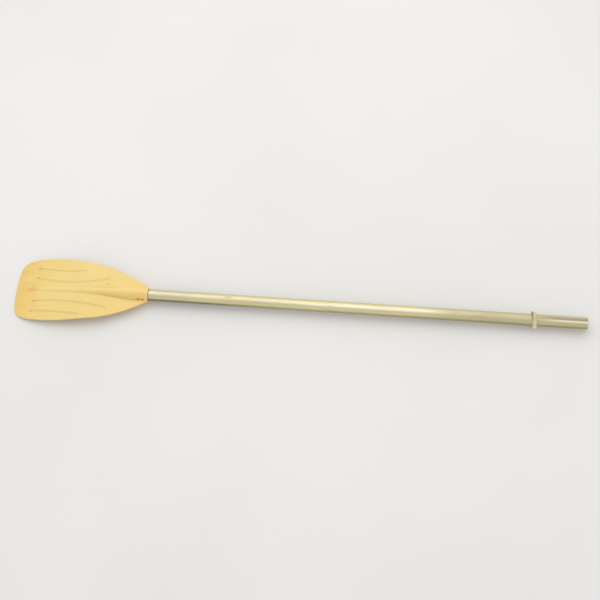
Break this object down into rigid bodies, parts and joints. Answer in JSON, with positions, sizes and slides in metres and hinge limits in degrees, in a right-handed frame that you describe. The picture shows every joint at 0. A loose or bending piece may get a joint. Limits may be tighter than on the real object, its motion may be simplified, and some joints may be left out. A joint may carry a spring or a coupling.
{
  "type": "rowing oar",
  "caption": "Light rowing oar: a straight aluminium tube with a moulded, fluted plastic spoon blade and a rubber stop ring that slides along the shaft.",
  "frame": {"origin": "centre of the handle end's face, on the shaft's axis", "axes": "+X along the shaft, out of the handle end; +Z out of the blade's crowned, fluted face; the oar lies as it rests on a floor"},
  "size_m": [1.5, 0.1794, 0.0456],
  "materials": {
    "blade_plastic": "aged yellow moulded plastic, satin, faintly mottled and browned towards the tip",
    "tube_aluminium": "pale gold anodised drawn tube, fine lengthwise drawing lines, light scuffs",
    "rivet_aluminium": "dull set blind rivet, dirt around the head",
    "mandrel_steel": "snapped steel stem, slightly rusted",
    "bung_foam": "closed-cell foam",
    "plug_plastic": "moulded polyethylene plug",
    "ring_rubber": "aged cream rubber"
  },
  "bodies": {
    "oar": {"blade": "blade_plastic", "shaft_tube": "tube_aluminium", "rivet_body_1": "rivet_aluminium", "rivet_body_2": "rivet_aluminium", "rivet_mandrel_1": "mandrel_steel", "rivet_mandrel_2": "mandrel_steel", "blade_end_bung": "bung_foam", "handle_end_plug": "plug_plastic"},
    "ring": {"stop_ring": "ring_rubber"}
  },
  "joints": [
    {"name": "ring_slide", "type": "slide", "parent": "oar", "child": "ring", "axis": [1, 0, 0], "range_m": [-0.95, 0.11]}
  ]
}
